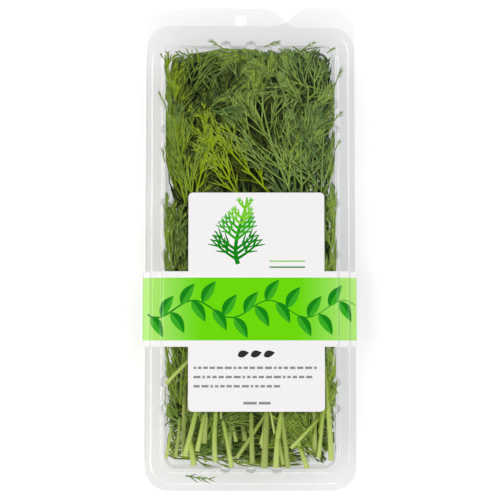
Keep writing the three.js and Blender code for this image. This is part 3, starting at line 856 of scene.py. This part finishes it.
# Stray dill: thread tips of fresh dill caught between the two lips, and a loose twig on the ledge at
# the foot. They came off the stems when the pack was filled, and only the closed lid holds them.
lip_gap = parting_height + 0.85
stray_tips = ((-42, 70, -47.2, 78.5), (-42.4, 93, -45.6, 97), (-14, 99.6, -22, 103.6), (7, 100, 16, 103.9),
              (26, 98.5, 33.6, 103.9), (42, 80, 45.6, 91), (41.6, 62.5, 46.2, 68.6), (42.2, 48, 44.9, 54),
              (-42.4, 42, -44.8, 50), (38.5, 97, 42.8, 100.4))
chance = np.random.default_rng(77)
start = np.array([(x, y, lip_gap) for x, y, _, _ in stray_tips])
end = np.array([(x, y, lip_gap) for _, _, x, y in stray_tips])
run = np.linalg.norm(end - start, axis=1)
bow = np.cross(unit(end - start), (0, 0, 0.12))
tips = shoots(start, end - start, bow, run, np.full(len(run), 0.36), np.full(len(run), 0.6))
twig = shoots(np.array([(-31.5, -112.6, lip_gap)]), np.array([(1.0, -0.22, 0.0)]),
              np.array([(0, 0.1, 0)]), np.array([13.5]), np.array([0.42]), np.array([0.55]))
twigs = side_shoots(twig, (0.15, 0.4, 0.6, 0.8), 0.5, 0.42, 0.34, chance, 0.0)
stray = [threads(tips, 4, 3, None, 0.3, 0.6), threads(twig, 6, 4, None, 0.1, 0.5),
         threads(twigs, 4, 3, None, 0.3, 0.6)]
forked = side_shoots(tips, (0.35, 0.6), 0.45, 0.4, 0.32, chance, 0.0)
stray.append(threads(forked, 4, 3, None, 0.4, 0.65))
stray_dill = dill_object("stray_dill", stray)
stray_dill.data.materials.append(dill_greens["dill_mid"])
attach(stray_dill, "tray")

# Label: one sheet of white coated paper, printed and die-cut as an upright panel and a wide band. It
# is stuck to the lid's front, steps down over the ledge on both sides and folds round the pack's edges.
paper = 0.25
label_lift = 0.42
label_on_front = front_height + label_lift
panel_edge = {"left": -30.5, "right": 36.6, "bottom": -81.4, "top": 26.4, "radius": 2.2}
band_bottom, band_top = -49.7, -12.6
stripe = 3.1
label_wrap_x = 52.42
fold_under_to = 46.4


def eased_line(points, ease, steps=5):
    """A line in X and Z with its bends eased, as points."""
    points = np.array(points, float)
    line = [points[0]]
    for before, here, after in zip(points, points[1:], points[2:]):
        ends = [here + (other - here) * min(ease / np.linalg.norm(other - here), 0.45)
                for other in (before, after)]
        line += list(bezier([ends[0], here, ends[1]], steps))
    return np.array(line + [points[-1]])


label_on_lip = lid_lip_height + label_lift
steps_down = [(pocket_edge[0] - 0.6, label_on_front), (pocket_edge[0] + 0.4, ledge_height + 0.48),
              (step_top[0] - 0.3, ledge_height + label_lift), (step_top[0] + 0.7, lid_lip_height + 0.7)]
label_section = eased_line([
    (lid_hinge_edge - 0.1, label_on_lip), *[(-x, z) for x, z in reversed(steps_down)],
    (0, label_on_front),
    *steps_down, (label_wrap_x, label_on_lip), (label_wrap_x, parting_height + 0.05),
], 0.5)
section_run = np.concatenate([[0], np.cumsum(np.linalg.norm(np.diff(label_section, axis=0), axis=1))])
# The run along the sheet is counted from X 0. The last six points turn down, where X stands still.
section_run -= np.interp(0, label_section[:, 0][:-6], section_run[:-6])
left_end, right_end = section_run[0], section_run[-1]


def rectangle(left, bottom, right, top):
    """A printed rectangle."""
    return np.array([(left, bottom), (right, bottom), (right, top), (left, top)])


def label_outline():
    """The die-cut outline: the upright panel with round corners, and the band that crosses it."""
    left, right, bottom, top, radius = panel_edge.values()
    return np.concatenate([
        [(left, band_top)],
        corner_arc((left + radius, top - radius), radius, 180, 6),
        corner_arc((right - radius, top - radius), radius, 90, 6),
        [(right, band_top), (right_end, band_top), (right_end, band_bottom), (right, band_bottom)],
        corner_arc((right - radius, bottom + radius), radius, 0, 6),
        corner_arc((left + radius, bottom + radius), radius, 270, 6),
        [(left, band_bottom), (left_end, band_bottom), (left_end, band_top)],
    ])


def stroke(points, width):
    """A tapering stroke of ink along a line."""
    points = np.array(points, float)
    along = unit(np.gradient(points, axis=0))
    aside = np.column_stack([-along[:, 1], along[:, 0]])
    half = width / 2 * np.linspace(1, 0.35, len(points))[:, None]
    return np.concatenate([points + aside * half, (points - aside * half)[::-1]])


def leaf_halves(root, angle, length, width):
    """A printed leaf in two halves along its midrib."""
    shares = np.linspace(0, 1, 9)
    rib = np.column_stack([shares * length, 0.05 * length * np.sin(shares * math.pi)])
    swell = width / 2 * np.sin(math.pi * shares ** 0.8) ** 0.9
    turn = np.array([[math.cos(angle), math.sin(angle)], [-math.sin(angle), math.cos(angle)]])
    halves = []
    for side in (1, -1):
        edge = np.column_stack([rib[:, 0], rib[:, 1] + side * swell])
        halves.append(np.concatenate([rib, edge[1:-1][::-1]]) @ turn + root)
    return halves


def vine():
    """A generic running vine along the band: a waving stem with single leaves up and down in turn."""
    centre = (band_bottom + band_top) / 2
    marks = np.linspace(left_end + 1, right_end - 1, 90)
    wave = 4.2 * np.sin(marks / 5.9)
    art = [("dark_ink", stroke(np.column_stack([marks, centre + wave]), 0.9))]
    for k, x in enumerate(np.arange(left_end + 3, right_end - 5, 5.2)):
        side = 1 if k % 2 else -1
        y = centre + 4.2 * math.sin(x / 5.9)
        room = (band_top - stripe - y if side > 0 else y - band_bottom - stripe) - 1.0
        length = min(12.5, room / math.sin(1.0))
        halves = leaf_halves((x, y), side * 1.0, length, length * 0.42)
        art += [("dark_ink", halves[0]), ("leaf_ink", halves[1])]
    return art


def printed_frond():
    """A generic feathery frond on the upper panel: a curved rib with forking strokes, darker below."""
    rib = bezier([(-6, -9), (-10, 1), (-3, 13), (-1.5, 24)], 14)
    art = [("dark_ink", stroke(rib, 2.2))]
    for k, share in enumerate(np.linspace(0.12, 0.86, 9)):
        root = rib[int(share * 13)]
        length = 15 * (1.05 - share) ** 0.8 + 2
        for side in (-1, 1):
            angle = math.pi / 2 - side * (0.95 - 0.35 * share)
            tip = root + length * np.array([math.cos(angle), math.sin(angle)])
            bow = root + (tip - root) * 0.5 + np.array([side * 0.8, -0.8])
            ink = ("dark_ink", "leaf_ink", "light_ink")[k // 3]
            art.append((ink, stroke(bezier([root, bow, tip], 7), 1.5)))
            for along, turn in ((0.35, 0.55), (0.35, -0.55), (0.65, 0.5), (0.65, -0.5)):
                start = root + (tip - root) * along
                end = start + length * 0.36 * np.array([math.cos(angle + turn), math.sin(angle + turn)])
                art.append((ink, stroke([start, (start + end) / 2, end], 1.2)))
    art.append(("light_ink", stroke(rib[9:], 1.4)))
    return art


def plain_marks():
    """Plain thin rules and rows of short dashes, which say nothing, on the white of the panel."""
    art = [("light_ink", rectangle(9.5, -7.9, 27, -7.3)), ("dark_ink", rectangle(9.5, -10.9, 27, -10.2))]
    for x in (-3.6, 2.8, 9.2):
        art += [("black_ink", half) for half in leaf_halves((x - 2.6, -54.2), 0.3, 5.8, 3.4)]
    for line, right in enumerate((33.5, 33.5, 15.5)):
        x = -27.8
        for k in range(40):
            width = 1.3 + 2.6 * ((k * 7 + line * 5) % 6) / 6
            if x + width > right:
                break
            y = -60.6 - 4.5 * line
            art.append(("grey_ink", rectangle(x, y, x + width, y + 1.2)))
            x += width + 0.9
    art.append(("grey_ink", rectangle(-3.4, -77.9, 3.2, -76.6)))
    art.append(("grey_ink", rectangle(4.2, -77.9, 10, -76.6)))
    return art


def coated_paper():
    """White coated label paper, calendered: a smooth soft sheen over faint fibres some 0.4 mm long."""
    material, tree = new_material("coated_paper_white")
    place = add_node(tree, "ShaderNodeTexCoord")
    fibre = add_node(tree, "ShaderNodeTexNoise", {"Scale": 1 / (0.4 * mm), "Detail": 3.0},
                     {"Vector": (place, "Object")})
    tint = add_node(tree, "ShaderNodeValToRGB", None, {"Fac": (fibre, "Fac")},
                    [(0.3, "e3e1e2"), (0.7, "ebe9ea")])
    grain = add_node(tree, "ShaderNodeBump", {"Strength": 0.1, "Distance": 0.03 * mm},
                     {"Height": (fibre, "Fac")})
    body = add_node(tree, "ShaderNodeBsdfPrincipled", {"Roughness": 0.38, "IOR": 1.5},
                    {"Base Color": (tint, 0), "Normal": (grain, "Normal")})
    add_node(tree, "ShaderNodeOutputMaterial", None, {"Surface": (body, 0)})
    return material


def printing_ink(name, code, worn_code, painted_sheen_code=None):
    """Offset ink on coated paper: an even film that mottles a little over 0.9 mm, glossier than the
    paper. The lime ink of the band is painted paler towards both ends, a painted sheen of the lamps'
    light where the band curves down."""
    material, tree = new_material(name)
    place = add_node(tree, "ShaderNodeTexCoord")
    mottle = add_node(tree, "ShaderNodeTexNoise", {"Scale": 1 / (0.9 * mm), "Detail": 2.0},
                      {"Vector": (place, "Object")})
    colour = add_node(tree, "ShaderNodeValToRGB", None, {"Fac": (mottle, "Fac")},
                      [(0.25, code), (0.85, worn_code)])
    source, output = colour, 0
    if painted_sheen_code:
        # Painted sheen: the colour turns paler with distance from the middle, towards both ends of the band.
        axes = add_node(tree, "ShaderNodeSeparateXYZ", None, {0: (place, "Object")})
        far = add_node(tree, "ShaderNodeMath", None, {0: (axes, "X")}, operation="ABSOLUTE")
        thin = add_node(tree, "ShaderNodeMapRange", {1: 22 * mm, 2: 53 * mm, 3: 0.0, 4: 1.0},
                        {0: (far, 0)}, interpolation_type="SMOOTHSTEP")
        source = add_node(tree, "ShaderNodeMix", {7: linear(painted_sheen_code)}, {0: (thin, 0), 6: (colour, 0)},
                          data_type="RGBA")
        output = 2
    body = add_node(tree, "ShaderNodeBsdfPrincipled", {"Roughness": 0.2, "IOR": 1.5},
                    {"Base Color": (source, output)})
    add_node(tree, "ShaderNodeOutputMaterial", None, {"Surface": (body, 0)})
    return material


white_paper = coated_paper()
inks = {
    "white_paper": white_paper,
    # Its last colour is the painted sheen towards the ends of the band.
    "lime_ink": printing_ink("lime_ink_with_painted_sheen", "64ce00", "6ad200", "a4dc68"),
    "dark_ink": printing_ink("dark_green_ink_on_paper", "087c08", "128612"),
    "leaf_ink": printing_ink("leaf_green_ink_on_paper", "2fa018", "3aa824"),
    "light_ink": printing_ink("light_green_ink_on_paper", "6cc01e", "76c82a"),
    "grey_ink": printing_ink("grey_ink_on_paper", "868686", "929292"),
    "black_ink": printing_ink("black_ink_on_paper", "262626", "303030"),
}
ink_names = list(inks)


def printed_label():
    """The label flat, with each face in its ink, then bent over the lid."""
    lime = rectangle(left_end, band_bottom + stripe, right_end, band_top - stripe)
    art = [("lime_ink", lime), *vine(), *printed_frond(), *plain_marks()]
    outline = label_outline()
    bends = [u for u in section_run[1:-1] if abs(u) > 30]
    lines = [((u, band_bottom), (u, band_top)) for u in bends]
    places, faces, middles = flat_sheet([outline, *[loop for _, loop in art]], lines)
    ink = np.zeros(len(faces), int)
    for title, loop in art:
        ink[within(middles, loop)] = ink_names.index(title)
    kept = within(middles, outline)
    bent = np.column_stack([np.interp(places[:, 0], section_run, label_section[:, 0]), places[:, 1],
                            np.interp(places[:, 0], section_run, label_section[:, 1])])
    return bent, faces[kept], ink[kept]


def paper_piece(name, points, faces, ink):
    """A paper piece with its faces' inks, thick as the paper, and bare on its back and its cut edges."""
    mesh = bpy.data.meshes.new(name)
    mesh.from_pydata([Vector(p) * mm for p in points], [], [tuple(map(int, face)) for face in faces])
    for material in inks.values():
        mesh.materials.append(material)
    mesh.polygons.foreach_set("material_index", np.asarray(ink, np.int32))
    mesh.update()
    bare = -len(inks)
    return thick_sheet(name, mesh, paper, 30, material_offset=bare, material_offset_rim=bare)


label_sheet = paper_piece("label_sheet", *printed_label())
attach(label_sheet, "lid")
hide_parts("label_front")


def band_strip(name, section):
    """A stretch of the band that runs on round the pack's edge: lime between its two white stripes."""
    marks = (band_bottom, band_bottom + stripe, band_top - stripe, band_top)
    points, faces, ink = [], [], []
    for title, start, end in zip(("white_paper", "lime_ink", "white_paper"), marks, marks[1:]):
        more, quads = bent_strip(section, start, end)
        faces.append(quads + sum(len(p) for p in points))
        points.append(more)
        ink += [ink_names.index(title)] * len(quads)
    return paper_piece(name, np.concatenate(points), np.concatenate(faces), ink)


under = tray_lip_height - sheet_drawn / 2 - 0.35
opening_fold = eased_line([
    (label_wrap_x, parting_height - 0.05), (label_wrap_x, under), (fold_under_to, under)], 0.4)
hinge_fold = [(-fold_under_to, under), (-half_width + 0.2, under)]
for name, node, section in (("label_end_opening", "label_fold_opening", opening_fold),
                            ("label_end_hinge", "label_fold_hinge", hinge_fold)):
    label_end = band_strip(name, section)
    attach(label_end, "tray")
    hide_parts(node)
label_spine = band_strip("label_spine", bezier([
    (-half_width + 0.2, under), (hinge_x - 1.2, under), (hinge_x - 1.2, label_on_lip),
    (lid_hinge_edge - 0.1, label_on_lip)], 15))
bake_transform(label_spine)

# Where it lies and how it is lit: a wide pale floor, soft lamps at both sides and at the foot, and a
# surround for the clear sheet to mirror.
floor_mesh = bpy.data.meshes.new("floor")
floor_mesh.from_pydata([(-3, -3, 0), (3, -3, 0), (3, 3, 0), (-3, 3, 0)], [], [(0, 1, 2, 3)])
floor = placed("floor", floor_mesh)
floor_paint, floor_tree = new_material("matt_white_floor")
floor_body = add_node(floor_tree, "ShaderNodeBsdfPrincipled",
                      {"Base Color": linear("cbcbcb"), "Roughness": 0.9,
                       "Emission Color": linear("ffffff"), "Emission Strength": 0.47})
add_node(floor_tree, "ShaderNodeOutputMaterial", None, {"Surface": (floor_body, 0)})
floor_mesh.materials.append(floor_paint)


def soft_lamp(name, place, size, power, colour):
    """A square soft lamp that faces the middle of the pack."""
    lamp = bpy.data.lights.new(name, "AREA")
    lamp.size = size
    lamp.energy = power
    lamp.color = linear(colour)[:3]
    holder = placed(name, lamp)
    holder.location = place
    holder.rotation_euler = (-Vector(place)).to_track_quat("-Z", "Y").to_euler()


soft_lamp("lamp_left", (-0.85, -0.05, 1.15), 1.0, 13.0, "fffdf8")
soft_lamp("lamp_right", (0.8, 0.4, 1.1), 1.0, 10.5, "f8fbff")
soft_lamp("lamp_foot", (0.0, -1.0, 0.9), 0.7, 5.5, "ffffff")
world = bpy.data.worlds.new("surround")
world.use_nodes = True
world_tree = world.node_tree
world_tree.nodes.clear()
toward = add_node(world_tree, "ShaderNodeTexCoord")
axes = add_node(world_tree, "ShaderNodeSeparateXYZ", None, {0: (toward, "Generated")})
# Dim overhead, where the camera stands, and bright towards the walls of the room.
bright = add_node(world_tree, "ShaderNodeMapRange", {1: 0.3, 2: 0.85, 3: 0.4, 4: 0.03}, {0: (axes, "Z")},
                  interpolation_type="SMOOTHSTEP")
glow = add_node(world_tree, "ShaderNodeBackground", {"Color": linear("ffffff")},
                {"Strength": (bright, 0)})
add_node(world_tree, "ShaderNodeOutputWorld", None, {"Surface": (glow, 0)})
bpy.context.scene.world = world
bpy.context.scene.cycles.transparent_max_bounces = 32
bpy.context.scene.view_settings.view_transform = "Standard"

# The camera: a long lens above the pack, a little towards its foot and tilted, as the photo was taken.
camera_distance = 0.75
camera_tilt = math.radians(4.5)
frame_width = 0.2477
looked_at = Vector((-0.0001, -0.0018, parting_height * mm))
eye = bpy.data.cameras.new("camera")
eye.sensor_width = 36
eye.lens = eye.sensor_width * camera_distance / frame_width
camera = placed("camera", eye)
camera.location = looked_at + camera_distance * Vector((0, -math.sin(camera_tilt), math.cos(camera_tilt)))
camera.rotation_euler = (camera_tilt, 0, 0)
bpy.context.scene.camera = camera
